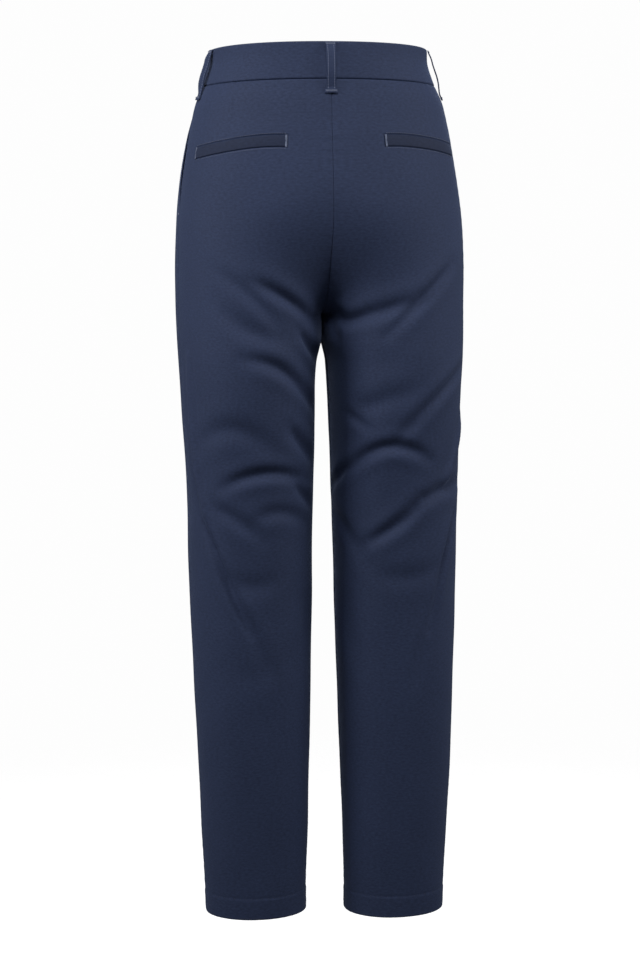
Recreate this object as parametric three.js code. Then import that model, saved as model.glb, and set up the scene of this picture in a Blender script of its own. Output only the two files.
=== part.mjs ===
import * as THREE from "three";

// Chino trousers, filled out as worn and empty inside. Millimetres, +Z up.
// The wearer's front faces -Y and the wearer's left is +X. The origin is the centre of
// the waist opening, level with the waistband's top edge at centre back.
//
// A leg's surface is worked out from "drop", the distance down from the waist, and "round",
// which runs from 0 at the centre back seam, through 0.5 at the side, to 1 at centre front.
// Below the fork, 0 and 1 both lie on the inseam.

// ---- Driving dimensions ----

const CLOTH = 1.2; // wall of a single layer, seams and pressed edges included
const BAND_CLOTH = 2.2; // waistband: two layers with interfacing
const SEAM_GAP = 0.3; // between pieces that meet at a seam
const LIE_GAP = 0.5; // under a piece that lies on a panel's flat facets
const BAND_DEPTH = 41; // height of the waistband
const HEM_DROP = 1013; // bottom of the legs
const HEM_TURN = 26; // height of the blind-stitched turn-up
const FORK_DROP = 305; // where the four leg panels meet
const KNEE_DROP = 540; // each leg panel is two solids that meet here, which keeps each simple
const FRONT_DIP = 10; // how much lower the waist is at centre front
const DIP_ENDS = 220; // drop by which the waist's dip has faded out
const HIP_POWER = 2 / 2.2; // superellipse powers of the hip ring and of a leg's ring
const LEG_POWER = 2 / 2.1;
const BACK_RISE_START = 150; // drop at which the seat seam starts to curve under
const FRONT_RISE_START = 205;
const LEG_STARTS = 170; // drops between which one hip ring turns into two legs
const LEG_FORMED = 400;
const VALLEY = 0.12; // share of a leg's round that dips towards the centre seam

// Half width of the garment, its back and front faces, and half the gap between the legs.
const SECTIONS = [
  { drop: 0, width: 126, back: 100, front: 104, gap: 0 },
  { drop: 17, width: 126.5, back: 101, front: 105, gap: 0 },
  { drop: 41, width: 135, back: 104, front: 107, gap: 0 },
  { drop: 60, width: 143.6, back: 107.5, front: 109, gap: 0 },
  { drop: 82, width: 149, back: 111, front: 111, gap: 0 },
  { drop: 105, width: 153.5, back: 115, front: 113, gap: 0 },
  { drop: 151, width: 160.7, back: 121.5, front: 114.5, gap: 0 },
  { drop: 197, width: 165.5, back: 125, front: 114, gap: 0 },
  { drop: 243, width: 167.6, back: 124.5, front: 110, gap: 0 },
  { drop: 290, width: 167.6, back: 121, front: 103, gap: 0.3 },
  { drop: 333, width: 166.6, back: 117.5, front: 95, gap: 0.6 },
  { drop: 345, width: 166.1, back: 116.5, front: 93, gap: 3 },
  { drop: 360, width: 165.4, back: 115, front: 91, gap: 5.9 },
  { drop: 406, width: 163.3, back: 111, front: 84, gap: 8.1 },
  { drop: 453, width: 161.3, back: 106, front: 75.5, gap: 9.4 },
  { drop: 500, width: 159.4, back: 101, front: 68, gap: 10.6 },
  { drop: 594, width: 157.1, back: 94, front: 54.5, gap: 13.2 },
  { drop: 689, width: 155.3, back: 90, front: 45, gap: 15.2 },
  { drop: 785, width: 152.2, back: 86, front: 37.5, gap: 17.6 },
  { drop: 881, width: 148.4, back: 81, front: 31, gap: 20.4 },
  { drop: 979, width: 143.9, back: 75.5, front: 24.5, gap: 23.3 },
  { drop: 1013, width: 142.8, back: 74, front: 22, gap: 23.4 },
];

// The largest folds. side: 1 left leg, -1 right; face: 1 back, -1 front. Each runs through
// three points, given as distance from the centre line and drop.
const FOLDS = [
  { side: 1, face: 1, from: [88, 266], by: [50, 285], to: [18, 310], depth: 5, width: 11 },
  { side: 1, face: 1, from: [132, 291], by: [95, 318], to: [50, 333], depth: 3, width: 13 },
  { side: 1, face: 1, from: [100, 351], by: [51, 368], to: [16, 410], depth: 5, width: 11 },
  { side: 1, face: 1, from: [149, 437], by: [114, 416], to: [64, 445], depth: 3, width: 11 },
  { side: 1, face: 1, from: [124, 488], by: [74, 474], to: [26, 486], depth: 4, width: 11 },
  { side: 1, face: 1, from: [130, 523], by: [110, 534], to: [80, 560], depth: 3, width: 12 },
  { side: -1, face: 1, from: [10, 292], by: [48, 284], to: [90, 280], depth: 5, width: 11 },
  { side: -1, face: 1, from: [142, 248], by: [108, 282], to: [64, 323], depth: 5, width: 12 },
  { side: -1, face: 1, from: [28, 402], by: [55, 384], to: [98, 372], depth: 3, width: 12 },
  { side: -1, face: 1, from: [156, 364], by: [122, 390], to: [78, 431], depth: 5, width: 12 },
  { side: -1, face: 1, from: [18, 484], by: [62, 448], to: [112, 462], depth: 5, width: 11 },
  { side: -1, face: 1, from: [156, 496], by: [108, 505], to: [42, 557], depth: 5, width: 12 },
  { side: 1, face: -1, from: [96, 262], by: [58, 282], to: [20, 306], depth: 4, width: 12 },
  { side: 1, face: -1, from: [130, 335], by: [90, 356], to: [42, 392], depth: 3, width: 13 },
  { side: 1, face: -1, from: [136, 498], by: [92, 516], to: [44, 504], depth: 3, width: 13 },
  { side: 1, face: -1, from: [128, 572], by: [96, 590], to: [52, 584], depth: 4, width: 13 },
  { side: -1, face: -1, from: [104, 254], by: [64, 278], to: [22, 300], depth: 4, width: 12 },
  { side: -1, face: -1, from: [136, 372], by: [94, 396], to: [38, 420], depth: 3, width: 13 },
  { side: -1, face: -1, from: [140, 540], by: [98, 556], to: [46, 548], depth: 4, width: 13 },
];
const FOLD_STEPS = 8; // straight steps along each fold
const RIDGE = 0.4; // height of the ridge beside a fold, as a share of its depth

// Rows of the leg panels: closest round the fork and over the folds.
const ROW_SPANS = [
  { from: 0, to: 150, rows: 4 },
  { from: 150, to: 250, rows: 5 },
  { from: 250, to: 290, rows: 3 },
  { from: 290, to: 305, rows: 4 },
  { from: 305, to: 350, rows: 4 },
  { from: 350, to: KNEE_DROP, rows: 10 },
  { from: KNEE_DROP, to: 620, rows: 4 },
  { from: 620, to: HEM_DROP - HEM_TURN, rows: 7 },
  { from: HEM_DROP - HEM_TURN, to: HEM_DROP - HEM_TURN + 1, rows: 1 },
  { from: HEM_DROP - HEM_TURN + 1, to: HEM_DROP, rows: 1 },
];
const BACK_COLUMNS = 11;
const FRONT_COLUMNS = 9;
const BAND_COLUMNS = 50;
const BAND_ROWS = 3;

const SIDE_SEAM_HIP = 0.46; // round at the side seam over the hip, and from the thigh down
const SIDE_SEAM_LEG = 0.49;

// Front pocket: its mouth's slant and depth, and how the hip piece lies behind it.
const POCKET = { slant: 60, depth: 150, underlap: 16, behind: 1.5, below: 8, rows: 7, columns: 4 };
const WELT = { height: 12.5, wall: 1.2, columns: 14 };
const WELTS = [
  { side: 1, inner: [50, 109.5], bend: [92, 110.5], outer: [146, 119.5] },
  { side: -1, inner: [60, 109], bend: [100, 109.5], outer: [149, 116] },
];
const FLY = { inner: -5, outer: 33, straight: 138, end: 172, wall: 1, rows: 10, columns: 4 };
const ZIP = { half: 12, start: 42, end: 185, wall: 1, behind: 0.7, rows: 6, columns: 2 };
const LAP = 16; // how far each end of the waistband runs past centre front
const BUTTON = { radius: 8.5, wall: 3, drop: 20 };

const LOOP = { width: 10.5, wall: 1.5 };
// Side view of a belt loop: the stand-off of its inner face, top to bottom.
const LOOP_PATH = [
  { drop: 0.6, stand: 0.35 },
  { drop: 4, stand: 1.6 },
  { drop: 8, stand: 4.4 },
  { drop: 13, stand: 6.2 },
  { drop: 27, stand: 6.4 },
  { drop: 36, stand: 5.2 },
  { drop: 44, stand: 2.6 },
  { drop: 50, stand: 0.5 },
  { drop: 57, stand: 0.4 },
];
// slack: how much further than that path a loop stands off where a belt passes.
const LOOPS = [
  { name: "loop_back", side: 1, round: 0, slack: 0 },
  { name: "loop_left", side: 1, round: 0.44, slack: 0 },
  { name: "loop_right", side: -1, round: 0.44, slack: 0 },
  { name: "loop_front_left", side: 1, round: 0.83, slack: 0.8 },
  { name: "loop_front_right", side: -1, round: 0.83, slack: 0.8 },
];

// ---- Small helpers ----

const clamp = (value, low, high) => Math.min(Math.max(value, low), high);
const mix = (a, b, share) => a + (b - a) * share;
const signedPower = (value, power) => Math.sign(value) * Math.abs(value) ** power;

function ease(value) {
  const share = clamp(value, 0, 1);
  return share * share * (3 - 2 * share);
}

// A smooth curve of one column of the section table over the drop.
function sectionCurve(column) {
  const xs = SECTIONS.map((row) => row.drop);
  const ys = SECTIONS.map((row) => row[column]);
  const last = xs.length - 1;
  const slopes = ys.map((_, i) => {
    const a = Math.max(i - 1, 0);
    const b = Math.min(i + 1, last);
    return (ys[b] - ys[a]) / (xs[b] - xs[a]);
  });
  return (drop) => {
    const d = clamp(drop, xs[0], xs[last]);
    const i = clamp(xs.findIndex((x) => x > d) - 1, 0, last - 1);
    const k = d >= xs[last] ? last - 1 : i;
    const span = xs[k + 1] - xs[k];
    const s = (d - xs[k]) / span;
    const rise = ys[k + 1] - ys[k];
    const bend = (slopes[k] + slopes[k + 1]) * span - 2 * rise;
    const start = slopes[k] * span;
    return ys[k] + s * (start + s * (3 * rise - 2 * start - slopes[k + 1] * span + s * bend));
  };
}

const halfWidth = sectionCurve("width");
const backFace = sectionCurve("back");
const frontFace = sectionCurve("front");
const gapCurve = sectionCurve("gap");
const halfGap = (drop) => Math.max(gapCurve(drop), SEAM_GAP);

// ---- The garment's surface ----

// 0 where the section is one hip ring, 1 where it is two separate legs.
function legShare(round, drop) {
  const start = round < 0.5 ? BACK_RISE_START : FRONT_RISE_START;
  const fall = clamp((drop - start) / (FORK_DROP - start), 0, 1);
  const atSeam = 1 - Math.sqrt(1 - fall * fall);
  const away = ease((drop - LEG_STARTS) / (LEG_FORMED - LEG_STARTS));
  return mix(atSeam, away, ease(Math.min(round, 1 - round) / VALLEY));
}

function plainPoint(side, round, drop) {
  const width = halfWidth(drop);
  const depth = (backFace(drop) + frontFace(drop)) / 2;
  const middle = (backFace(drop) - frontFace(drop)) / 2;
  const gap = halfGap(drop);
  const hipAngle = Math.PI * round;
  const hipX = width * signedPower(Math.sin(hipAngle), HIP_POWER);
  const hipY = depth * signedPower(Math.cos(hipAngle), HIP_POWER);
  const legAngle = 2 * hipAngle;
  const legHalf = (width - gap) / 2;
  const legX = gap + legHalf * (1 - signedPower(Math.cos(legAngle), LEG_POWER));
  const legY = depth * signedPower(Math.sin(legAngle), LEG_POWER);
  const share = legShare(round, drop);
  const dip = FRONT_DIP * (1 - Math.cos(hipAngle)) / 2;
  const x = Math.max(mix(hipX, legX, share), 0);
  const y = middle + mix(hipY, legY, share);
  const z = -drop - dip * (1 - ease((drop - BAND_DEPTH) / (DIP_ENDS - BAND_DEPTH)));
  return new THREE.Vector3(side * x, y, z);
}

function normalAt(side, round, drop) {
  const alongRound = plainPoint(side, Math.min(round + 0.004, 1), drop);
  alongRound.sub(plainPoint(side, Math.max(round - 0.004, 0), drop));
  const alongDrop = plainPoint(side, round, drop + 1.5);
  alongDrop.sub(plainPoint(side, round, drop - 1.5));
  return alongRound.cross(alongDrop).normalize().multiplyScalar(side);
}

// Length of a leg's section from round 0 to round 1.
function roundLength(drop) {
  const width = halfWidth(drop);
  const depth = (backFace(drop) + frontFace(drop)) / 2;
  const legHalf = (width - halfGap(drop)) / 2;
  const hip = Math.PI * Math.sqrt((width ** 2 + depth ** 2) / 2);
  const leg = 2 * Math.PI * Math.sqrt((legHalf ** 2 + depth ** 2) / 2);
  return mix(hip, leg, ease((drop - LEG_STARTS) / (LEG_FORMED - LEG_STARTS)));
}

// The round at which a face of a leg is a given distance from the centre line.
function roundAt(face, distance, drop) {
  let near = face > 0 ? 0 : 1;
  let far = 0.5;
  for (let step = 0; step < 24; step += 1) {
    const middle = (near + far) / 2;
    if (plainPoint(1, middle, drop).x < distance) near = middle;
    else far = middle;
  }
  return (near + far) / 2;
}

// Each fold as a chain of points: how far round in millimetres, and drop.
const foldChains = FOLDS.map((fold) => {
  const points = [];
  for (let step = 0; step <= FOLD_STEPS; step += 1) {
    const s = step / FOLD_STEPS;
    const pull = (i) => {
      const control = 2 * fold.by[i] - (fold.from[i] + fold.to[i]) / 2;
      return mix(mix(fold.from[i], control, s), mix(control, fold.to[i], s), s);
    };
    const drop = pull(1);
    points.push([roundAt(fold.face, pull(0), drop), drop]);
  }
  return { ...fold, points };
});

// How far the folds move the surface out (ridges) or in (troughs) at a point.
function foldHeight(side, round, drop) {
  const length = roundLength(drop);
  let height = 0;
  for (const fold of foldChains.filter((row) => row.side === side)) {
    let nearest = Infinity;
    let below = 0;
    let along = 0;
    for (let i = 0; i < FOLD_STEPS; i += 1) {
      const [startRound, startDrop] = fold.points[i];
      const [endRound, endDrop] = fold.points[i + 1];
      const runX = (endRound - startRound) * length;
      const runY = endDrop - startDrop;
      const toX = (round - startRound) * length;
      const toY = drop - startDrop;
      const share = clamp((toX * runX + toY * runY) / (runX ** 2 + runY ** 2), 0, 1);
      const away = Math.hypot(toX - share * runX, toY - share * runY);
      if (away < nearest) {
        nearest = away;
        below = toY - share * runY;
        along = (i + share) / FOLD_STEPS;
      }
    }
    const reach = (Math.sign(below) * nearest) / fold.width;
    const trough = Math.exp(-(reach ** 2));
    const ridges = Math.exp(-(((reach - 1.9) / 1.3) ** 2)) + Math.exp(-(((reach + 1.9) / 1.3) ** 2));
    const taper = Math.sin(Math.PI * clamp(along, 0.03, 0.97)) ** 0.6;
    height += fold.depth * taper * (RIDGE * ridges - trough);
  }
  return height * ease(Math.min(round, 1 - round) / 0.05);
}

// A point of a leg, moved out (or in, below 0) from the folded surface.
function surface(side, round, drop, out) {
  const lift = out + foldHeight(side, round, drop);
  return plainPoint(side, round, drop).addScaledVector(normalAt(side, round, drop), lift);
}

function sideSeam(drop) {
  return mix(SIDE_SEAM_HIP, SIDE_SEAM_LEG, ease((drop - 200) / 300));
}

// ---- Closed solids from grids of points ----

// grid[row][column] is { outer, inner }: the two skins of a wall. The edges are closed.
function wallGeometry(grid) {
  const rows = grid.length;
  const columns = grid[0].length;
  const positions = [];
  for (const skin of ["outer", "inner"]) {
    for (const line of grid) {
      for (const cell of line) positions.push(...cell[skin].toArray());
    }
  }
  const at = (skin, row, column) => (skin * rows + row) * columns + column;
  const faces = [];
  const quad = (a, b, c, d) => faces.push(a, b, c, a, c, d);
  for (let i = 0; i < rows - 1; i += 1) {
    for (let j = 0; j < columns - 1; j += 1) {
      quad(at(0, i, j), at(0, i + 1, j), at(0, i + 1, j + 1), at(0, i, j + 1));
      quad(at(1, i, j), at(1, i, j + 1), at(1, i + 1, j + 1), at(1, i + 1, j));
    }
  }
  for (let j = 0; j < columns - 1; j += 1) {
    quad(at(0, 0, j), at(0, 0, j + 1), at(1, 0, j + 1), at(1, 0, j));
    quad(at(0, rows - 1, j), at(1, rows - 1, j), at(1, rows - 1, j + 1), at(0, rows - 1, j + 1));
  }
  for (let i = 0; i < rows - 1; i += 1) {
    quad(at(0, i, 0), at(1, i, 0), at(1, i + 1, 0), at(0, i + 1, 0));
    quad(at(0, i, columns - 1), at(0, i + 1, columns - 1), at(1, i + 1, columns - 1), at(1, i, columns - 1));
  }
  return facingOut(positions, faces);
}

// Turns the faces round where they enclose a negative volume.
function facingOut(positions, faces) {
  const corner = (index) => new THREE.Vector3().fromArray(positions, index * 3);
  let volume = 0;
  for (let i = 0; i < faces.length; i += 3) {
    volume += corner(faces[i]).dot(corner(faces[i + 1]).cross(corner(faces[i + 2])));
  }
  const turned = [];
  for (let i = 0; i < faces.length; i += 3) turned.push(faces[i], faces[i + 2], faces[i + 1]);
  const geometry = new THREE.BufferGeometry();
  geometry.setAttribute("position", new THREE.Float32BufferAttribute(positions, 3));
  geometry.setIndex(volume < 0 ? turned : faces);
  geometry.computeVertexNormals();
  return geometry;
}

// ---- Materials ----

const MATERIALS = {
  body: { color: 0x333c54, roughness: 0.82, metalness: 0 },
  band: { color: 0x343c53, roughness: 0.82, metalness: 0 },
  trim: { color: 0x363f58, roughness: 0.8, metalness: 0 },
  tape: { color: 0x232838, roughness: 0.9, metalness: 0 },
  button: { color: 0x262b3a, roughness: 0.4, metalness: 0 },
};

const group = new THREE.Group();

function add(name, geometry, slot) {
  const mesh = new THREE.Mesh(geometry, new THREE.MeshStandardMaterial(MATERIALS[slot]));
  mesh.name = name;
  group.add(mesh);
  return mesh;
}

// ---- Leg panels ----

const HALVES = [
  { name: "upper", top: BAND_DEPTH + SEAM_GAP, bottom: KNEE_DROP - SEAM_GAP / 2 },
  { name: "lower", top: KNEE_DROP + SEAM_GAP / 2, bottom: HEM_DROP },
];
const ROW_CLEARANCE = 8; // no row comes closer than this to a half's top

function rowDrops(half) {
  const drops = [half.top];
  for (const span of ROW_SPANS) {
    for (let i = 1; i <= span.rows; i += 1) {
      const drop = mix(span.from, span.to, i / span.rows);
      if (drop > half.top + ROW_CLEARANCE && drop < half.bottom) drops.push(drop);
    }
  }
  return [...drops, half.bottom];
}

// A panel keeps just off the centre plane, so the left and right halves leave a seam.
function offCentre(point, side) {
  point.x = side * Math.max(side * point.x, SEAM_GAP / 2);
  return point;
}

function legPanel(side, half, fromRound, toRound, columns) {
  const grid = rowDrops(half).map((drop) => {
    const edge = (SEAM_GAP * 0.6) / roundLength(drop);
    const wall = drop > HEM_DROP - HEM_TURN ? 2 * CLOTH : CLOTH;
    const line = [];
    for (let j = 0; j <= columns; j += 1) {
      const round = mix(fromRound(drop) + edge, toRound(drop) - edge, j / columns);
      line.push({
        outer: offCentre(surface(side, round, drop, 0), side),
        inner: offCentre(surface(side, round, drop, -wall), side),
      });
    }
    return line;
  });
  return wallGeometry(grid);
}

// The front panel is cut back at the hip along the slanted mouth of its pocket.
function pocketMouth(drop) {
  const share = 1 - clamp((drop - BAND_DEPTH) / POCKET.depth, 0, 1);
  return sideSeam(drop) + (POCKET.slant * share) / roundLength(drop);
}

// ---- What lies on or under the panels ----

// The hip piece fills the corner behind the pocket's mouth, under the front panel.
function hipPiece(side) {
  const grid = [];
  for (let i = 0; i <= POCKET.rows; i += 1) {
    const bottom = BAND_DEPTH + POCKET.depth + POCKET.below;
    const drop = mix(BAND_DEPTH + SEAM_GAP, bottom, i / POCKET.rows);
    const length = roundLength(drop);
    const line = [];
    for (let j = 0; j <= POCKET.columns; j += 1) {
      const end = pocketMouth(drop) + POCKET.underlap / length;
      const round = mix(sideSeam(drop) + SEAM_GAP / length, end, j / POCKET.columns);
      line.push({
        outer: surface(side, round, drop, -CLOTH - POCKET.behind),
        inner: surface(side, round, drop, -2 * CLOTH - POCKET.behind),
      });
    }
    grid.push(line);
  }
  return wallGeometry(grid);
}

function weltGeometry(row) {
  const grid = [-1, 1].map((edge) => {
    const line = [];
    for (let j = 0; j <= WELT.columns; j += 1) {
      const s = 1 - (1 - j / WELT.columns) ** 1.6; // closer together where the hip turns
      const pull = (i) => {
        const control = 2 * row.bend[i] - (row.inner[i] + row.outer[i]) / 2;
        return mix(mix(row.inner[i], control, s), mix(control, row.outer[i], s), s);
      };
      const drop = pull(1) + (edge * WELT.height) / 2;
      const round = roundAt(1, pull(0), drop);
      line.push({
        outer: surface(row.side, round, drop, LIE_GAP + WELT.wall),
        inner: surface(row.side, round, drop, LIE_GAP),
      });
    }
    return line;
  });
  return wallGeometry(grid);
}

// A point near centre front, from its x.
function frontPoint(x, drop, out) {
  const side = x < 0 ? -1 : 1;
  return surface(side, roundAt(-1, Math.abs(x), drop), drop, out);
}

// The fly's lap: a straight strip whose outer edge curves in to the seam at its foot.
function flyGeometry() {
  const grid = [];
  for (let i = 0; i <= FLY.rows; i += 1) {
    const drop = mix(BAND_DEPTH + SEAM_GAP, FLY.end, i / FLY.rows);
    const foot = clamp((drop - FLY.straight) / (FLY.end - FLY.straight + 2), 0, 1);
    const outerEdge = mix(FLY.inner, FLY.outer, Math.sqrt(1 - foot * foot));
    const line = [];
    for (let j = 0; j <= FLY.columns; j += 1) {
      const x = mix(FLY.inner, outerEdge, j / FLY.columns);
      line.push({
        outer: frontPoint(x, drop, LIE_GAP + FLY.wall),
        inner: frontPoint(x, drop, LIE_GAP),
      });
    }
    grid.push(line);
  }
  return wallGeometry(grid);
}

function zipGeometry() {
  const grid = [];
  for (let i = 0; i <= ZIP.rows; i += 1) {
    const drop = mix(ZIP.start, ZIP.end, i / ZIP.rows);
    const line = [];
    for (let j = 0; j <= ZIP.columns; j += 1) {
      const x = mix(-ZIP.half, ZIP.half, j / ZIP.columns);
      line.push({
        outer: frontPoint(x, drop, -CLOTH - ZIP.behind),
        inner: frontPoint(x, drop, -CLOTH - ZIP.behind - ZIP.wall),
      });
    }
    grid.push(line);
  }
  return wallGeometry(grid);
}

// ---- Waistband, belt loops, button ----

// The band runs from its outer end, past centre front, round by the left side and the
// back, to its inner end, which steps in behind the outer one.
function bandGeometry() {
  const lap = LAP / roundLength(0);
  const grid = [];
  for (let i = 0; i <= BAND_ROWS; i += 1) {
    const drop = (BAND_DEPTH * i) / BAND_ROWS;
    const line = [];
    for (let j = 0; j <= BAND_COLUMNS; j += 1) {
      const turn = mix(-lap, 2 + lap, j / BAND_COLUMNS);
      const left = (turn >= 0 && turn <= 1) || turn > 2;
      const round = Math.abs(1 - (turn > 2 ? turn - 2 : Math.abs(turn)));
      const stepIn = (BAND_CLOTH + 0.5) * ease((turn - 1.86) / 0.1);
      line.push({
        outer: surface(left ? 1 : -1, round, drop, -stepIn),
        inner: surface(left ? 1 : -1, round, drop, -stepIn - BAND_CLOTH),
      });
    }
    grid.push(line);
  }
  return wallGeometry(grid);
}

function loopGeometry(row) {
  const grid = LOOP_PATH.map((step) => {
    const base = plainPoint(row.side, row.round, step.drop);
    const out = row.round === 0 ? new THREE.Vector3(0, 1, 0) : normalAt(row.side, row.round, step.drop);
    out.setZ(0).normalize();
    const across = new THREE.Vector3(-out.y, out.x, 0).multiplyScalar(LOOP.width / 2);
    return [-1, 1].map((end) => {
      const edge = base.clone().addScaledVector(across, end);
      const stand = step.stand + row.slack * ease(step.stand / 6);
      return {
        outer: edge.clone().addScaledVector(out, stand + LOOP.wall),
        inner: edge.clone().addScaledVector(out, stand),
      };
    });
  });
  return wallGeometry(grid);
}

// A dished button, turned about its own axis.
function buttonGeometry() {
  const { radius, wall } = BUTTON;
  const profile = [
    [0, 0],
    [radius * 0.94, 0],
    [radius, wall * 0.3],
    [radius, wall * 0.75],
    [radius * 0.92, wall],
    [radius * 0.72, wall],
    [radius * 0.64, wall * 0.72],
    [0, wall * 0.72],
  ];
  return new THREE.LatheGeometry(profile.map(([x, y]) => new THREE.Vector2(x, y)), 24);
}

// ---- The garment ----

for (const [name, side] of [["left", 1], ["right", -1]]) {
  for (const half of HALVES) {
    const back = legPanel(side, half, () => 0, sideSeam, BACK_COLUMNS);
    const front = legPanel(side, half, pocketMouth, () => 1, FRONT_COLUMNS);
    add(`back_${name}_${half.name}`, back, "body");
    add(`front_${name}_${half.name}`, front, "body");
  }
  add(`hip_piece_${name}`, hipPiece(side), "body");
}
for (const row of WELTS) add(`welt_${row.side > 0 ? "left" : "right"}`, weltGeometry(row), "trim");
add("fly_lap", flyGeometry(), "trim");
add("fly_zip", zipGeometry(), "tape");
add("waistband", bandGeometry(), "band");
for (const row of LOOPS) add(row.name, loopGeometry(row), "trim");

const button = add("waist_button", buttonGeometry(), "button");
const buttonOut = normalAt(1, 1, BUTTON.drop).setX(0).normalize();
button.position.copy(plainPoint(1, 1, BUTTON.drop)).addScaledVector(buttonOut, LIE_GAP).setX(0);
button.rotation.x = Math.atan2(buttonOut.z, buttonOut.y);

export default group;
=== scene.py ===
"""Chino trousers, filled out and hollow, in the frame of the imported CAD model.

The cloth is worked out from the garment's own sizes, in millimetres, by the formulas that
gave the CAD solids their shape. "drop" is the distance down from the waist. "round" runs
over one leg from 0 at the centre back seam, through 0.5 at the side, to 1 at centre front.
"""
import math

import bpy
import numpy as np
from mathutils import Matrix, Quaternion, Vector


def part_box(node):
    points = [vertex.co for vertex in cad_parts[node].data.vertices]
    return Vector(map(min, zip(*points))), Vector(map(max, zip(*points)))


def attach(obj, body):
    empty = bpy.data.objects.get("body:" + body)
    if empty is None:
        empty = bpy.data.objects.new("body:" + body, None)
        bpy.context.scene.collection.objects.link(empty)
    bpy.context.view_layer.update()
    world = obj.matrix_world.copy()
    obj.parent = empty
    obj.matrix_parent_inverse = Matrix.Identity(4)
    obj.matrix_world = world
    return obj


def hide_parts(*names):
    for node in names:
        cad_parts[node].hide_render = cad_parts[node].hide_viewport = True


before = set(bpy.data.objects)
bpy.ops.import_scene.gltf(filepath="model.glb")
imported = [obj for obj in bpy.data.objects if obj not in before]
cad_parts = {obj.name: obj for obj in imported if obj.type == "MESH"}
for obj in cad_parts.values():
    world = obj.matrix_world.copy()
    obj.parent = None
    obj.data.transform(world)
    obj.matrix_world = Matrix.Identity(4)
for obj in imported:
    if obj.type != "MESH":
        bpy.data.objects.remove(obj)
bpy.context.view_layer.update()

MM = 0.001

# ---- Sizes of the garment ----

CLOTH = 1.2  # wall of the cloth
BAND_CLOTH = 2.2  # wall of the folded waistband
BAND_DEPTH = 41
HEM_DROP = -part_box("back_left_lower")[0][2] / MM
HEM_TURN = 26  # height of the hem's turn-up
FORK_DROP = 305  # where the legs part
FRONT_DIP = 10  # how much lower the waist lies at centre front
DIP_ENDS = 220
HIP_POWER = 2 / 2.2  # roundness of the hip ring
LEG_POWER = 2 / 2.1  # roundness of a leg
BACK_RISE_START = 150  # drops where the centre seams start to turn in between the legs
FRONT_RISE_START = 205
LEG_STARTS = 170  # drops between which the hip ring turns into two legs
LEG_FORMED = 400
VALLEY = 0.12  # share of the round over which the centre seams' valley fades out
UNEVEN_HEMS = (-1.5, 4.0)  # how much lower the left hem and the right hem hang
LEAST_HALF_GAP = 0.3  # half the distance between the two legs' inner sides
SEAM = 0.01  # half the gap left between two pieces at a seam
TOP_GAP = 0.35  # gap between the waistband and what hangs from it
SIDE_SEAM_HIP = 0.46  # round of the side seam on the hip and down the leg
SIDE_SEAM_LEG = 0.49
SIDE_SEAM_MOVES = (200, 500)

# drop, half width, back face, front face, half the gap between the legs
SECTIONS = np.array([
    (0, 126, 100, 104, 0),
    (17, 126.5, 101, 105, 0),
    (41, 135, 104, 107, 0),
    (60, 143.6, 107.5, 109, 0),
    (82, 149, 111, 111, 0),
    (105, 153.5, 115, 113, 0),
    (151, 160.7, 121.5, 114.5, 0),
    (197, 165.5, 125, 114, 0),
    (243, 167.6, 124.5, 110, 0),
    (290, 167.6, 121, 103, 0.02),
    (333, 166.6, 117.5, 95, 0.6),
    (345, 166.1, 116.5, 93, 3.6),
    (360, 165.4, 115, 91, 6.9),
    (406, 163.3, 111, 84, 9.1),
    (453, 161.3, 106, 75.5, 10.2),
    (500, 159.4, 101, 68, 11.4),
    (594, 158.0, 94, 54.5, 13.6),
    (689, 155.3, 90, 45, 15.2),
    (785, 152.2, 86, 37.5, 17.6),
    (881, 148.4, 81, 31, 20.4),
    (979, 143.9, 75.5, 24.5, 23.3),
    (1013, 142.8, 74, 22, 23.4),
])

# Creases by leg (1 left, -1 right) and face (1 back, -1 front): start, middle and end as
# (distance from the centre line, drop), depth, width. A depth below 0 is a ridge.
CREASES = {}
CREASES[1, 1] = [  # back of the left leg
    ((88, 265), (50, 285), (16, 311), 5.5, 8),
    ((130, 253), (91, 281), (58, 322), 2.4, 9),
    ((130, 290), (95, 318), (48, 333), 3.0, 12),
    ((100, 350), (51, 368), (16, 412), 5.5, 8),
    ((34, 322), (24, 336), (12, 352), 5.0, 7),
    ((150, 452), (114, 430), (64, 459), 2.6, 11),
    ((48, 430), (34, 448), (20, 468), 5.0, 8),
    ((124, 497), (76, 481), (28, 492), 5.0, 7),
    ((40, 496), (31, 508), (20, 522), 4.0, 7),
    ((86, 535), (58, 527), (27, 542), 2.8, 8),
    ((132, 522), (110, 534), (80, 559), 3.0, 8),
    ((159, 350), (151, 470), (134, 560), -5.0, 5.0),
    ((142, 540), (120, 606), (92, 668), 5.4, 5.0),
    ((102, 645), (84, 686), (70, 722), 1.6, 8),
    ((126, 598), (92, 612), (58, 602), 1.6, 11),
    ((30, 618), (27, 660), (34, 706), 2.4, 14),
    ((60, 700), (84, 716), (112, 708), 1.0, 16),
]
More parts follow.
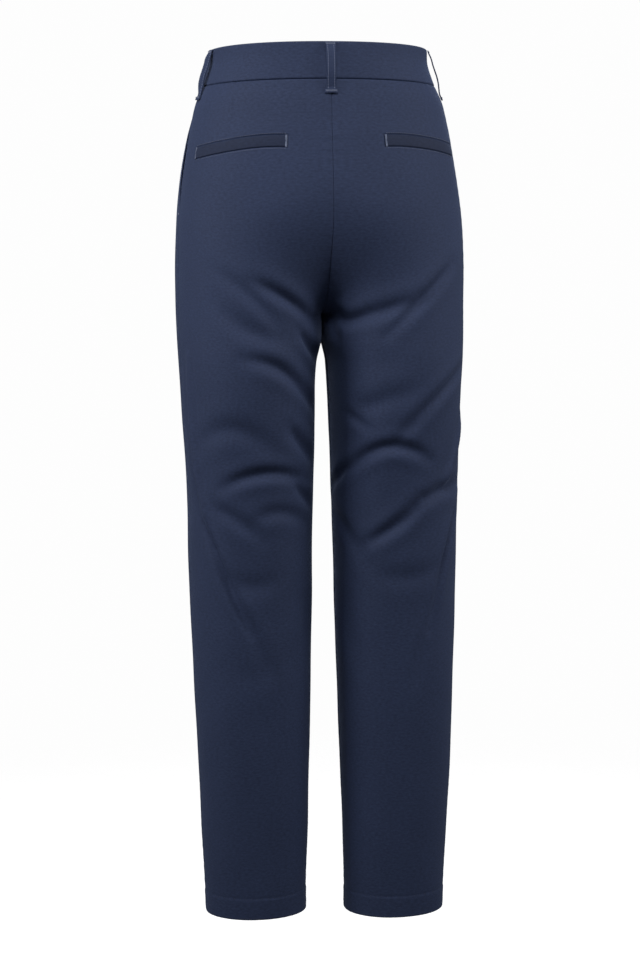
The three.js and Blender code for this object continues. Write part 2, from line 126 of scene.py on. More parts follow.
CREASES[-1, 1] = [  # back of the right leg
    ((4, 294), (16, 309), (42, 304), 5.0, 7),
    ((20, 306), (60, 298), (96, 284), 4.6, 9),
    ((142, 248), (108, 282), (64, 323), 5.0, 8),
    ((4, 303), (8, 317), (13, 334), 3.0, 5),
    ((28, 414), (52, 402), (98, 386), 2.8, 11),
    ((157, 366), (122, 396), (76, 442), 5.0, 7),
    ((20, 416), (32, 424), (44, 432), 2.5, 6),
    ((16, 491), (60, 453), (112, 468), 5.5, 7),
    ((22, 476), (15, 491), (11, 506), 3.0, 6),
    ((156, 502), (128, 506), (98, 520), 4.5, 8),
    ((106, 514), (74, 543), (40, 566), 5.0, 7),
    ((159, 424), (150, 460), (128, 512), -3.4, 5.5),
    ((156, 520), (138, 580), (116, 668), 5.4, 5.0),
    ((121, 646), (108, 690), (100, 730), 1.5, 8),
    ((10, 528), (24, 556), (42, 587), 2.4, 9),
    ((132, 590), (92, 604), (50, 598), 1.6, 11),
    ((28, 616), (24, 660), (32, 702), 2.4, 14),
]
CREASES[1, -1] = [  # front of the left leg
    ((104, 258), (60, 282), (14, 306), 4.0, 9),
    ((74, 300), (46, 312), (14, 326), 2.6, 8),
    ((134, 333), (92, 356), (40, 394), 3.0, 11),
    ((120, 420), (86, 436), (30, 446), 2.0, 11),
    ((138, 497), (92, 516), (42, 503), 3.2, 10),
    ((130, 571), (96, 590), (50, 583), 4.0, 10),
    ((112, 622), (84, 634), (46, 620), 2.4, 11),
    ((84, 430), (90, 520), (88, 640), -1.6, 16),
]
CREASES[-1, -1] = [  # front of the right leg
    ((108, 250), (66, 278), (16, 301), 4.0, 9),
    ((66, 294), (40, 308), (13, 320), 2.4, 8),
    ((140, 370), (94, 397), (36, 421), 3.0, 11),
    ((110, 456), (78, 470), (34, 462), 2.0, 11),
    ((142, 539), (98, 557), (44, 548), 4.0, 10),
    ((122, 596), (88, 610), (48, 596), 3.0, 11),
    ((86, 420), (92, 520), (88, 660), -1.6, 16),
]
CREASE_STEPS = 10
# The two ridges beside a crease: height in depths, and place and width in widths
RIDGE_BELOW = (0.24, 1.9, 1.2)
RIDGE_ABOVE = (0.26, -1.9, 1.3)

# Slow unevenness, as the product of two waves: height, then for each wave its length
# round the leg, its length down the leg, and its phase; the first phase turns with the leg
SLACK_WAVES = [
    (0.35, (23, 61, 1), (-90, 37, 0)),
    (0.22, (11, -83, 2), (47, 19, 0)),
    (0.5, (130, 71, 1.3), (41, np.inf, 0.7)),
]

# Waist darts of the back panels: leg, distance from the centre line at the band and at
# the point, drop of the point.
DARTS = [(1, 103, 108, 100), (-1, 114, 118, 100)]
DART_GROOVE = (0.75, 0, 1.5)  # depth, place and width across the dart
DART_RIDGE = (0.35, 4, 3)
DART_FADES = 30

# Rolled edges: how far from its edge a piece starts to turn down, and how deep it turns
ROLLS = {
    "panel seam": (1.5, 1.0), "panel top": (2.0, 1.5), "hem": (1.1, 0.9),
    "hip seam": (1.7, 1.0), "hip top": (1.8, 1.0),
    "band top": (1.3, 1.1), "band foot": (1.8, 1.7), "band end": (1.2, 1.1),
    "loop": (1.0, 0.65), "welt": (1.1, 0.9), "welt end": (0.9, 0.7),
    "fly": (1.1, 0.9), "fly top": (1.8, 0.9),
}


# ---- The garment's surface ----

def mix(a, b, share):
    return a + (b - a) * share


def ease(value):
    share = np.clip(value, 0, 1)
    return share * share * (3 - 2 * share)


def signed_power(value, power):
    return np.sign(value) * np.abs(value) ** power


def hump(value, centre, width):
    """1 at the centre, almost 0 two widths away from it."""
    return np.exp(-(((value - centre) / width) ** 2))


def smooth_table(xs, ys, x):
    """A smooth curve through a table's points."""
    low = np.maximum(np.arange(len(xs)) - 1, 0)
    high = np.minimum(np.arange(len(xs)) + 1, len(xs) - 1)
    slopes = (ys[high] - ys[low]) / (xs[high] - xs[low])
    d = np.clip(x, xs[0], xs[-1])
    k = np.clip(np.searchsorted(xs, d, side="right") - 1, 0, len(xs) - 2)
    span = xs[k + 1] - xs[k]
    s = (d - xs[k]) / span
    rise = ys[k + 1] - ys[k]
    start = slopes[k] * span
    end = slopes[k + 1] * span
    return ys[k] + s * (start + s * (3 * rise - 2 * start - end + s * (start + end - 2 * rise)))


def section(column, drop):
    return smooth_table(SECTIONS[:, 0], SECTIONS[:, column], drop)


def half_gap(drop):
    return np.maximum(section(4, drop), LEAST_HALF_GAP)


def leg_share(around, drop):
    """0 where the section is one hip ring, 1 where it is two separate legs."""
    start = np.where(around < 0.5, BACK_RISE_START, FRONT_RISE_START)
    fall = np.clip((drop - start) / (FORK_DROP - start), 0, 1)
    at_seam = 1 - np.sqrt(1 - fall * fall)
    away = ease((drop - LEG_STARTS) / (LEG_FORMED - LEG_STARTS))
    return mix(at_seam, away, ease(np.minimum(around, 1 - around) / VALLEY))


def plain_point(side, around, drop):
    """The smooth surface, before creases. Returns an array ending in x, y, z."""
    width = section(1, drop)
    depth = (section(2, drop) + section(3, drop)) / 2
    middle = (section(2, drop) - section(3, drop)) / 2
    gap = half_gap(drop)
    angle = np.pi * around
    hip_x = width * signed_power(np.sin(angle), HIP_POWER)
    hip_y = depth * signed_power(np.cos(angle), HIP_POWER)
    leg_half = (width - gap) / 2
    leg_x = gap + leg_half * (1 - signed_power(np.cos(2 * angle), LEG_POWER))
    leg_y = depth * signed_power(np.sin(2 * angle), LEG_POWER)
    share = leg_share(around, drop)
    dip = FRONT_DIP * (1 - np.cos(angle)) / 2
    x = np.maximum(mix(hip_x, leg_x, share), 0)
    y = middle + mix(hip_y, leg_y, share)
    z = -drop - dip * (1 - ease((drop - BAND_DEPTH) / (DIP_ENDS - BAND_DEPTH)))
    lower = np.where(np.asarray(side) > 0, *UNEVEN_HEMS)
    z = z - lower * ease((drop - FORK_DROP) / (HEM_DROP - FORK_DROP))
    return np.stack(np.broadcast_arrays(side * x, y, z), axis=-1)


NORMAL_ROUND = 0.004  # steps over which a normal is taken
NORMAL_DROP = 1.5


def normal_at(side, around, drop):
    along_round = plain_point(side, np.minimum(around + NORMAL_ROUND, 1), drop)
    along_round = along_round - plain_point(side, np.maximum(around - NORMAL_ROUND, 0), drop)
    along_drop = plain_point(side, around, drop + NORMAL_DROP)
    along_drop = along_drop - plain_point(side, around, drop - NORMAL_DROP)
    normal = np.cross(along_round, along_drop)
    return np.asarray(side)[..., None] * normal / np.linalg.norm(normal, axis=-1, keepdims=True)


def round_length(drop):
    """Length of a leg's section, from round 0 to round 1."""
    width = section(1, drop)
    depth = (section(2, drop) + section(3, drop)) / 2
    leg_half = (width - half_gap(drop)) / 2
    hip = np.pi * np.sqrt((width**2 + depth**2) / 2)
    leg = 2 * np.pi * np.sqrt((leg_half**2 + depth**2) / 2)
    return mix(hip, leg, ease((drop - LEG_STARTS) / (LEG_FORMED - LEG_STARTS)))


HALVINGS = 26


def round_at(face, distance, drop):
    """The round at which a face of a leg is a given distance from the centre line."""
    distance, drop = np.broadcast_arrays(np.asarray(distance, float), np.asarray(drop, float))
    near = np.full(distance.shape, 0.0 if face > 0 else 1.0)
    far = np.full(distance.shape, 0.5)
    for _ in range(HALVINGS):
        middle = (near + far) / 2
        inside = plain_point(1, middle, drop)[..., 0] < distance
        near = np.where(inside, middle, near)
        far = np.where(inside, far, middle)
    return (near + far) / 2


def curve_through(start, middle, end, count):
    """Points on the parabola through three points."""
    s = np.linspace(0, 1, count)[:, None]
    start, middle, end = (np.array(p, float) for p in (start, middle, end))
    control = 2 * middle - (start + end) / 2
    return mix(mix(start, control, s), mix(control, end, s), s)


def chain_reach(chain, around, drop, length):
    """Signed distance below a chain of (round, drop) points, and the share along it."""
    nearest = np.full(around.shape, np.inf)
    below = np.zeros(around.shape)
    along = np.zeros(around.shape)
    steps = len(chain) - 1
    for i in range(steps):
        run_x = (chain[i + 1, 0] - chain[i, 0]) * length
        run_y = chain[i + 1, 1] - chain[i, 1]
        to_x = (around - chain[i, 0]) * length
        to_y = drop - chain[i, 1]
        share = np.clip((to_x * run_x + to_y * run_y) / (run_x**2 + run_y**2), 0, 1)
        away_x, away_y = to_x - share * run_x, to_y - share * run_y
        away = np.hypot(away_x, away_y)
        closer = away < nearest
        nearest = np.where(closer, away, nearest)
        turn = run_x * away_y - run_y * away_x
        below = np.where(closer, np.sign(turn) * away, below)
        along = np.where(closer, (i + share) / steps, along)
    return below, along


def crease_chains():
    chains = []
    for (side, face), rows in CREASES.items():
        for start, middle, end, depth, width in rows:
            path = curve_through(start, middle, end, CREASE_STEPS + 1)
            chain = np.stack([round_at(face, path[:, 0], path[:, 1]), path[:, 1]], axis=-1)
            chains.append((side, chain, depth, width))
    return chains


CHAINS = crease_chains()


def one_crease(chain, depth, width, around, drop, length):
    below, along = chain_reach(chain, around, drop, length)
    if chain[-1, 0] < chain[0, 0]:
        below = -below
    reach = below / width
    ridges = RIDGE_BELOW[0] * hump(reach, *RIDGE_BELOW[1:])
    ridges += RIDGE_ABOVE[0] * hump(reach, *RIDGE_ABOVE[1:])
    taper = np.sin(np.pi * np.clip(along, 0.03, 0.97)) ** 0.6
    return depth * taper * (ridges - hump(reach, 0, 1))


CREASE_REACH = 5  # in widths


def crease_height(side, around, drop):
    """Height of all the creases. They run on over a leg's inner side below the fork."""
    length = round_length(drop)
    fork = ease((drop - FORK_DROP) / 12)
    held = mix(ease(np.minimum(around, 1 - around) / 0.02), 1, fork)
    height = np.zeros(around.shape)
    for crease_side, chain, depth, width in CHAINS:
        if crease_side != side:
            continue
        reach = CREASE_REACH * width
        rows = (drop > chain[:, 1].min() - reach) & (drop < chain[:, 1].max() + reach)
        if not rows.any():
            continue
        a, d, ln = around[rows], drop[rows], length[rows]
        part = one_crease(chain, depth, width, a, d, ln)
        wrapped = one_crease(chain, depth, width, a + 1, d, ln)
        wrapped += one_crease(chain, depth, width, a - 1, d, ln)
        height[rows] += part + wrapped * fork[rows]
    return height * held


def slack_height(side, around, drop):
    """Slow, shallow unevenness of cloth that hangs filled out."""
    run = around * round_length(drop)
    height = np.zeros(np.shape(run))
    for high, (round_1, drop_1, turn), (round_2, drop_2, phase) in SLACK_WAVES:
        first = np.sin(run / round_1 + drop / drop_1 + turn * side)
        height += high * first * np.sin(run / round_2 + drop / drop_2 + phase)
    return height * ease((drop - BAND_DEPTH) / 60)


def side_seam(drop):
    top, foot = SIDE_SEAM_MOVES
    return mix(SIDE_SEAM_HIP, SIDE_SEAM_LEG, ease((drop - top) / (foot - top)))


def dart_height(side, around, drop):
    height = np.zeros(around.shape)
    for dart_side, top, point, ends in DARTS:
        if dart_side != side:
            continue
        distance = mix(top, point, (drop - BAND_DEPTH) / (ends - BAND_DEPTH))
        centre = round_at(1, distance, drop)
        away = (around - centre) * round_length(drop)
        fade = np.clip((ends - drop) / DART_FADES, 0, 1) * (around < 0.5)
        height -= DART_GROOVE[0] * fade * hump(away, *DART_GROOVE[1:])
        height += DART_RIDGE[0] * fade * hump(away, *DART_RIDGE[1:])
    return height


def cloth(side, around, drop):
    """The smooth surface, its normals, and the height of creases on it."""
    around, drop = np.broadcast_arrays(np.asarray(around, float), np.asarray(drop, float))
    height = crease_height(side, around, drop) + slack_height(side, around, drop)
    height = height + dart_height(side, around, drop)
    return plain_point(side, around, drop), normal_at(side, around, drop), height


# ---- Meshes ----

EDGE = np.array([0, 0.25, 0.6, 1.1, 1.8, 2.8])  # places near an edge, close together


def stations(span, count):
    """Places across a piece whose width may vary by row, close together at both edges."""
    span = np.asarray(span, float)[..., None]
    inner = EDGE[-1] + (span - 2 * EDGE[-1]) * np.linspace(0, 1, count)
    ones = np.ones_like(span)
    return np.concatenate([EDGE[:-1] * ones, inner, span - EDGE[-2::-1] * ones], axis=-1)


def roll(distance, kind):
    """How far a folded or seamed edge turns down, by distance from the edge."""
    radius, depth = ROLLS[kind]
    share = np.clip(1 - distance / radius, 0, 1)
    return depth * (1 - np.sqrt(1 - 0.98 * share**2))


def new_mesh(name, points, faces, material, uv=None):
    """An object from points in millimetres and faces that all have the same corners."""
    mesh = bpy.data.meshes.new(name)
    mesh.vertices.add(len(points))
    mesh.vertices.foreach_set("co", (points * MM).astype(np.float32).ravel())
    mesh.loops.add(faces.size)
    mesh.loops.foreach_set("vertex_index", faces.ravel().astype(np.int32))
    mesh.polygons.add(len(faces))
    starts = np.arange(0, faces.size, faces.shape[1], dtype=np.int32)
    mesh.polygons.foreach_set("loop_start", starts)
    mesh.polygons.foreach_set("use_smooth", np.ones(len(faces), dtype=bool))
    mesh.update(calc_edges=True)
    if uv is not None:
        layer = mesh.uv_layers.new(name="cloth")
        layer.data.foreach_set("uv", (uv * MM)[faces.ravel()].astype(np.float32).ravel())
    mesh.materials.append(material)
    piece = bpy.data.objects.new(name, mesh)
    bpy.context.scene.collection.objects.link(piece)
    return piece


def shell(name, outer, inner, across, down, material):
    """A closed sheet between two grids of points, with its places across and down as uv."""
    uv = np.stack(np.broadcast_arrays(across, down), axis=-1).reshape(-1, 2)
    rows, columns = outer.shape[:2]
    index = np.arange(rows * columns).reshape(rows, columns)
    front = np.stack([index[:-1, :-1], index[1:, :-1], index[1:, 1:], index[:-1, 1:]], axis=-1)
    front = front.reshape(-1, 4)
    under = rows * columns
    ring = np.concatenate([index[0, :-1], index[:-1, -1], index[-1, :0:-1], index[:0:-1, 0]])
    following = np.roll(ring, -1)
    edge = np.stack([ring, following, following + under, ring + under], axis=-1)
    faces = np.concatenate([front, front[:, ::-1] + under, edge])
    points = np.concatenate([outer.reshape(-1, 3), inner.reshape(-1, 3)])
    probe = points[front[len(front) // 2]]
    facing = np.cross(probe[1] - probe[0], probe[2] - probe[0])
    outward = probe[0] - points[front[len(front) // 2, 0] + under]
    if np.dot(facing, outward) < 0:
        faces = faces[:, ::-1]
    return new_mesh(name, points, faces, material, np.concatenate([uv, uv]))


def settle(piece, slot, *nodes):
    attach(piece, "root")
    if nodes:
        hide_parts(*nodes)
    return piece


# ---- Materials ----

def set_inputs(made, values):
    """Sets a node's plain values, and links what is another node's output."""
    for name, value in values.items():
        if isinstance(value, bpy.types.NodeSocket):
            made.id_data.links.new(value, made.inputs[name])
        else:
            made.inputs[name].default_value = value


def node(tree, kind, inputs=None, **attributes):
    made = tree.nodes.new("ShaderNode" + kind)
    for name, value in attributes.items():
        setattr(made, name, value)
    set_inputs(made, inputs or {})
    return made


def new_material(name, looks):
    """A material, its tree and its shader, with the looks as values on the shader."""
    material = bpy.data.materials.new(name)
    material.use_nodes = True
    shader = material.node_tree.nodes["Principled BSDF"]
    set_inputs(shader, looks)
    return material, material.node_tree, shader


def two_tones(tree, colour, darkest, lightest, share):
    """A mix between a darker and a lighter tone of a colour."""
    tones = [(*[c * tone for c in colour], 1) for tone in (darkest, lightest)]
    inputs = {"A": tones[0], "B": tones[1], "Factor": share}
    return node(tree, "Mix", inputs, data_type="RGBA").outputs["Result"]


RIBS_PER_METRE = 720
CLOTH_LOOKS = {"Specular IOR Level": 0.2, "Sheen Weight": 0.16, "Sheen Roughness": 0.35,
               "Sheen Tint": (0.42, 0.54, 0.90, 1)}


def cloth_material(name, colour, roughness=0.72):
    """Fine twill: diagonal ribs, loose fibres, slubs in the threads, slow changes of tone, and
    painted shade where the weave lies low.
    """
    material, tree, shader = new_material(name, CLOTH_LOOKS)
    where = node(tree, "TexCoord").outputs["Object"]
    uv = node(tree, "UVMap", uv_map="cloth").outputs["UV"]

    def noise(vector, scale, detail, rough=0.5):
        inputs = {"Vector": vector, "Scale": scale, "Detail": detail, "Roughness": rough}
        return node(tree, "TexNoise", inputs).outputs["Fac"]

    ribs = node(tree, "TexWave",
                {"Vector": uv, "Scale": RIBS_PER_METRE, "Distortion": 1.2, "Detail": 1},
                wave_type="BANDS", bands_direction="DIAGONAL").outputs["Fac"]
    along_weft = node(tree, "Mapping", {"Vector": uv, "Scale": (0.5, 1, 1)})
    slubs = noise(along_weft.outputs["Vector"], 480, 3, 0.65)
    tone = noise(where, 9, 5, 0.6)
    # the weave's height: ribs, and fibres half as high
    weave = node(tree, "Math", {0: noise(uv, 2600, 2), 1: 0.5, 2: ribs},
                 operation="MULTIPLY_ADD").outputs["Value"]
    bump = node(tree, "Bump", {"Height": weave, "Strength": 0.35, "Distance": 0.0002})
    # its tone: mostly the slubs, then painted shade between the ribs, where the weave's height is
    # low
    spread = node(tree, "Mix", {"Factor": 0.8, "A": tone, "B": slubs}, data_type="FLOAT")
    shade = two_tones(tree, colour, 0.34, 1.66, spread.outputs["Result"])
    weave_shade = node(tree, "CombineColor", dict.fromkeys(("Red", "Green", "Blue"), weave))
    rib_shaded = node(tree, "Mix", {"Factor": 0.22, "A": shade, "B": weave_shade.outputs["Color"]},
                  data_type="RGBA", blend_type="MULTIPLY")
    rough = node(tree, "MapRange",
                 {"Value": tone, "To Min": roughness - 0.06, "To Max": roughness + 0.06})
    set_inputs(shader, {"Base Color": rib_shaded.outputs["Result"], "Normal": bump.outputs["Normal"],
                        "Roughness": rough.outputs["Result"]})
    return material


def mottled_material(name, colour, scale, detail, darkest, lightest, looks):
    """A small hard thing whose tone varies: thread, or a button."""
    material, tree, shader = new_material(name, looks)
    where = node(tree, "TexCoord").outputs["Object"]
    noise = {"Vector": where, "Scale": scale, "Detail": detail}
    mottle = node(tree, "TexNoise", noise).outputs["Fac"]
    set_inputs(shader, {"Base Color": two_tones(tree, colour, darkest, lightest, mottle)})
    return material


def thread_material(name, colour):
    looks = {"Roughness": 0.5, "Sheen Weight": 0.2}
    return mottled_material(name, colour, 1400, 2, 0.75, 1.25, looks)


NAVY = (0.0255, 0.0372, 0.083)
DARK_NAVY = (0.016, 0.020, 0.036)
TWILL = cloth_material("twill", NAVY)
BAND_TWILL = cloth_material("band_twill", NAVY)
# painted shade: the welts' twill is a darker copy of the navy, standing in for the shade over the
# welts where they are let into the panel
SHADED_WELT_TWILL = cloth_material("welt_twill_painted_shade", (0.0160, 0.0232, 0.0520))
TAPE = cloth_material("zip_tape", (0.012, 0.015, 0.028), 0.85)
THREAD = thread_material("stitching", (0.14, 0.170, 0.265))
EDGE_THREAD = thread_material("stitching_edge", (0.085, 0.105, 0.175))
DARK_THREAD = thread_material("stitching_dark", DARK_NAVY)
BUTTON = mottled_material("button", DARK_NAVY, 160, 3, 0.6, 1.5,
                          {"Roughness": 0.32, "Coat Weight": 0.3})


# ---- Back pockets' places ----

WELT_HEIGHT = 12.5
WELT_WALL = 1.2
WELT_SINK = 1.15  # how far the panel is pressed in under a welt
WELT_STEPS = 60
# name, leg, then inner end, bend and outer end as (distance from the centre line, drop)
WELTS = [("left", 1, (50, 109.5), (92, 110.5), (146, 119.5)),
         ("right", -1, (60, 109), (100, 109.5), (149, 116))]


def welt_path(row):
    """Round and drop along the middle of a welt."""
    _, _, inner_end, bend, outer_end = row
    path = curve_through(inner_end, bend, outer_end, WELT_STEPS + 1)
    return round_at(1, path[:, 0], path[:, 1]), path[:, 1]


def beyond_welt(row, around, drop):
    """How far outside a welt's outline a place is, below 0 inside it."""
    mid_round, mid_drop = welt_path(row)
    along = np.maximum(mid_round[0] - around, around - mid_round[-1]) * round_length(drop)
    middle = np.interp(around, mid_round, mid_drop)
    return np.maximum(along, np.abs(drop - middle) - WELT_HEIGHT / 2)


def welt_sink(side, around, drop):
    """The back panel is pressed in where a welt is let into it."""
    sink = np.zeros(around.shape)
    for row in WELTS:
        if row[1] == side:
            sink += WELT_SINK * ease((2.0 - beyond_welt(row, around, drop)) / 1.6)
    return sink


# ---- Leg panels ----

HEM_LINE = HEM_DROP - HEM_TURN  # drop of the blind stitching


# rows of a leg panel: drop at which a stretch ends, and the spacing of its rows
PANEL_ROWS = [(99, 3.6), (130, 0.9), (240, 4.2), (645, 2.6), (HEM_LINE - 6, 5.0),
              (HEM_LINE + 6, 1.2), (HEM_DROP - EDGE[-1], 4.0)]
PANEL_COLUMNS = 92
HEM_FULLNESS = 0.3
HEM_GROOVE = (0.24, HEM_LINE, 1.5)  # depth, drop and width
PUCKER_HEIGHT = 0.17
PUCKER_LENGTH = 12.5
PUCKER_PLACE = (4.5, 3.5)  # distance from the seam, and width
PULL_WIDTH = 4  # how far from a centre seam the cloth is drawn to the other leg's


def row_drops(top):
    low = top + EDGE[-1]
    rows = [top + EDGE[:-1]]
    for high, step in PANEL_ROWS:
        rows.append(np.linspace(low, high, round((high - low) / step), endpoint=False))
        low = high
    rows.append(HEM_DROP - EDGE[::-1])
    return np.concatenate(rows)


def puckers(distance, drop, phase):
    """Small ripples that stitching draws up beside a seam."""
    uneven = 1.9 * np.sin(drop / 29 + phase)
    wave = np.sin(2 * np.pi * drop / PUCKER_LENGTH + uneven + phase)
    return PUCKER_HEIGHT * hump(distance, *PUCKER_PLACE) * wave


def leg_panel(name, side, start, end):
    """A back or front panel between two seams, given as functions of the drop."""
    at_back = start is at_centre_back
    top = BAND_DEPTH + TOP_GAP
    drop = row_drops(top)
    length = round_length(drop)
    first = start(drop) * length + SEAM
    places = stations((end(drop) * length - SEAM) - first, PANEL_COLUMNS)
    far = places[:, -1:] - places
    drop = drop[:, None] * np.ones_like(places)
    around = (first[:, None] + places) / length[:, None]
    plain, normal, height = cloth(side, around, drop)
    edges = roll(np.minimum(places, far), "panel seam") + roll(drop - top, "panel top")
    edges += roll(HEM_DROP - drop, "hem")
    ripples = puckers(places, drop, side) + puckers(far, drop, side + 2.0)
    if at_back:
        height = height - welt_sink(side, around, drop)
    turned = HEM_FULLNESS * ease((drop - HEM_LINE) / 2)
    groove = HEM_GROOVE[0] * hump(drop, *HEM_GROOVE[1:])
    wall = CLOTH + CLOTH * ease((drop - HEM_LINE) / 3)
    skin = height + ripples + turned - groove
    outer = plain + normal * (skin - edges)[..., None]
    inner = plain + normal * (height - wall)[..., None]
    seam_at = 0 if at_back else -1
    reach = np.abs(places - places[:, seam_at][:, None])
    pulled = hump(reach, 0, PULL_WIDTH) * (1 - ease((drop - FORK_DROP) / 8))
    for grid in (outer, inner):
        # above the fork the two legs' panels meet at the centre plane
        apart = side * grid[:, seam_at, 0][:, None] - SEAM
        grid[..., 0] -= side * apart * pulled
        grid[..., 0] = side * np.maximum(side * grid[..., 0], SEAM)
    return shell(name, outer, inner, around * length[:, None], drop, TWILL)


POCKET_SLANT = 60  # how far in front of the side seam the slant pocket starts
POCKET_DEPTH = 150
POCKET_UNDERLAP = 16  # how far the hip piece runs under the front panel
HIP_TUCK = 4  # how far it runs up behind the waistband
HIP_BELOW = 8  # how far it runs below the pocket's mouth
HIP_SINK = 2.6  # how deep it lies under the front panel
HIP_SINKS_OVER = 9


def pocket_mouth(drop):
    share = 1 - np.clip((drop - BAND_DEPTH) / POCKET_DEPTH, 0, 1)
    return side_seam(drop) + POCKET_SLANT * share / round_length(drop)


def at_centre_back(drop):
    return np.zeros_like(drop)


def at_centre_front(drop):
    return np.ones_like(drop)


def hip_piece(name, side):
    """The corner behind the slant pocket's mouth, under the front panel."""
    low = BAND_DEPTH - HIP_TUCK
    high = BAND_DEPTH + POCKET_DEPTH + HIP_BELOW
    drop = low + stations(high - low, 40)
    length = round_length(drop)
    first = side_seam(drop) * length + SEAM
    places = stations(pocket_mouth(drop) * length + POCKET_UNDERLAP - first, 26)
    drop = drop[:, None] * np.ones_like(places)
    around = (first[:, None] + places) / length[:, None]
    plain, normal, height = cloth(side, around, drop)
    edges = roll(places, "hip seam") + roll(drop - low, "hip top")
    # flush with the back panel at the side seam, lower under the front panel and the band
    sunk = HIP_SINK * ease(places / HIP_SINKS_OVER)
    behind_band = ease((BAND_DEPTH + 3 - drop) / 3)
    sunk = sunk + (BAND_CLOTH + 0.7 - sunk) * behind_band
    outer = plain + normal * (height - sunk - edges)[..., None]
    inner = plain + normal * (height - sunk - CLOTH)[..., None]
    return shell(name, outer, inner, around * length[:, None], drop, TWILL)


# ---- Stitches ----

TOPSTITCH = {"spacing": 2.8, "length": 1.6, "radius": 0.31}
TACK_STITCH = {"spacing": 0.5, "length": 1.5, "radius": 0.24}
BLIND_STITCH = {"spacing": 6.5, "length": 1.3, "radius": 0.2}
TACK_SPACING = 0.45
TACK_HALF_WIDTH = 0.75

# A stitch: places along it in lengths, and its thickness there in radii
BAR_ALONG = np.array([-0.5, -0.32, 0, 0.32, 0.5])
BAR_GIRTH = np.array([0.35, 0.85, 1.0, 0.85, 0.35])
BAR_SIDES = 6


def at_distances(table, run, distances):
    columns = [np.interp(distances, run, table[:, i]) for i in range(3)]
    return np.stack(columns, -1)


def unit(vectors):
    return vectors / np.maximum(np.linalg.norm(vectors, axis=1, keepdims=True), 1e-9)


def resample(points, normals, spacing):
    """Evenly spaced places along a path, with the path's direction and normals there."""
    step = np.linalg.norm(np.diff(points, axis=0), axis=1)
    run = np.concatenate([[0], np.cumsum(step)])
    count = max(int(run[-1] / spacing), 1)
    at = (np.arange(count) + 0.5) * run[-1] / count
    ahead = at_distances(points, run, np.minimum(at + 0.3, run[-1]))
    behind = at_distances(points, run, np.maximum(at - 0.3, 0))
    out = unit(at_distances(normals, run, at))
    return at_distances(points, run, at), unit(ahead - behind), out


def stitch_bars(centres, along, out, length, radius):
    """A small rounded bar of thread at each place: points and faces of them all."""
    across = np.cross(along, out)
    points = []
    for share, girth in zip(BAR_ALONG, BAR_GIRTH):
        for angle in np.arange(BAR_SIDES) * 2 * np.pi / BAR_SIDES:
            ring = across * (radius * girth * np.cos(angle))
            ring = ring + out * (radius * girth * np.sin(angle))
            points.append(centres + along * (share * length) + ring)
    points = np.stack(points, axis=1)
    last = (len(BAR_ALONG) - 1) * BAR_SIDES
    quads = []
    for low in range(0, last, BAR_SIDES):
        for j in range(BAR_SIDES):
            k = (j + 1) % BAR_SIDES
            quads.append([low + j, low + k, low + BAR_SIDES + k, low + BAR_SIDES + j])
    for base, order in ((0, -1), (last, 1)):
        cap = [base + j for j in range(BAR_SIDES)][::order]
        quads += [cap[:4], [cap[0], *cap[3:]]]
    first = np.arange(len(points)) * points.shape[1]
    faces = np.array(quads)[None] + first[:, None, None]
    return points.reshape(-1, 3), faces.reshape(-1, 4)


def thread_piece(name, runs, material, stitch):
    """One object for all the stitches along several runs of (points, normals)."""
    points, faces, total = [], [], 0
    for run_points, run_normals in runs:
        places, along, out = resample(run_points, run_normals, stitch["spacing"])
        bars, quads = stitch_bars(places, along, out, stitch["length"], stitch["radius"])
        points.append(bars)
        faces.append(quads + total)
        total += len(bars)
    piece = new_mesh(name, np.concatenate(points), np.concatenate(faces), material)
    return settle(piece, "stitching")


def run_on(side, around, drop, out):
    """A run of stitching on the cloth: its points and the cloth's normals there."""
    plain, normal, height = cloth(side, around, drop)
    return plain + normal * (height + out)[..., None], normal


def bartack(points, normals):
    """Close zigzag stitching over a short line."""
    centre, along, out = resample(points, normals, TACK_SPACING)
    across = np.cross(along, out)
    odd = np.arange(len(centre)) % 2
    zig = np.where(odd, TACK_HALF_WIDTH, -TACK_HALF_WIDTH)[:, None]
    return centre + across * zig, out


# ---- Waistband ----

LAP = 16  # how far each end of the waistband runs past centre front
LAP_STEPS_IN = (1.86, 0.1)  # turn where the under end starts to step in, and over how much
BAND_FULLNESS = 0.35
BAND_WANDER = 0.22


def ring_place(turn):
    """Leg and round for a place on the waist: 0 is centre front, 1 centre back, 2 front."""
    side = np.where(((turn >= 0) & (turn <= 1)) | (turn > 2), 1.0, -1.0)
    around = np.abs(1 - np.where(turn > 2, turn - 2, np.abs(turn)))
    return side, around


def waistband():
    girth = 2 * round_length(0.0)
    lap = LAP / round_length(0.0)
    along = stations(girth + 2 * LAP, 300)
    down = stations(BAND_DEPTH, 12)
    turn = -lap + along / (girth + 2 * LAP) * (2 + 2 * lap)
    turn = turn[None, :] * np.ones((len(down), 1))
    drop = down[:, None] * np.ones((1, len(along)))
    side, around = ring_place(turn)
    plain, normal = plain_point(side, around, drop), normal_at(side, around, drop)
    starts, over = LAP_STEPS_IN
    step_in = (BAND_CLOTH + 0.5) * ease((turn - starts) / over)
    ends = np.minimum(along, along[-1] - along)[None, :]
    top = roll(drop, "band top")
    edges = top + roll(BAND_DEPTH - drop, "band foot") + roll(ends, "band end")
    middle = np.sin(np.pi * drop / BAND_DEPTH)
    wander = BAND_WANDER * np.sin(along / 17)[None, :] * np.sin(along / 41 + 1)[None, :]
    skin = BAND_FULLNESS * middle + wander * middle
    outer = plain + normal * (skin - edges - step_in)[..., None]
    inner = plain + normal * (0.7 * top - BAND_CLOTH - step_in)[..., None]
    return shell("waistband_cloth", outer, inner, along[None, :], drop, BAND_TWILL)


# ---- Belt loops ----

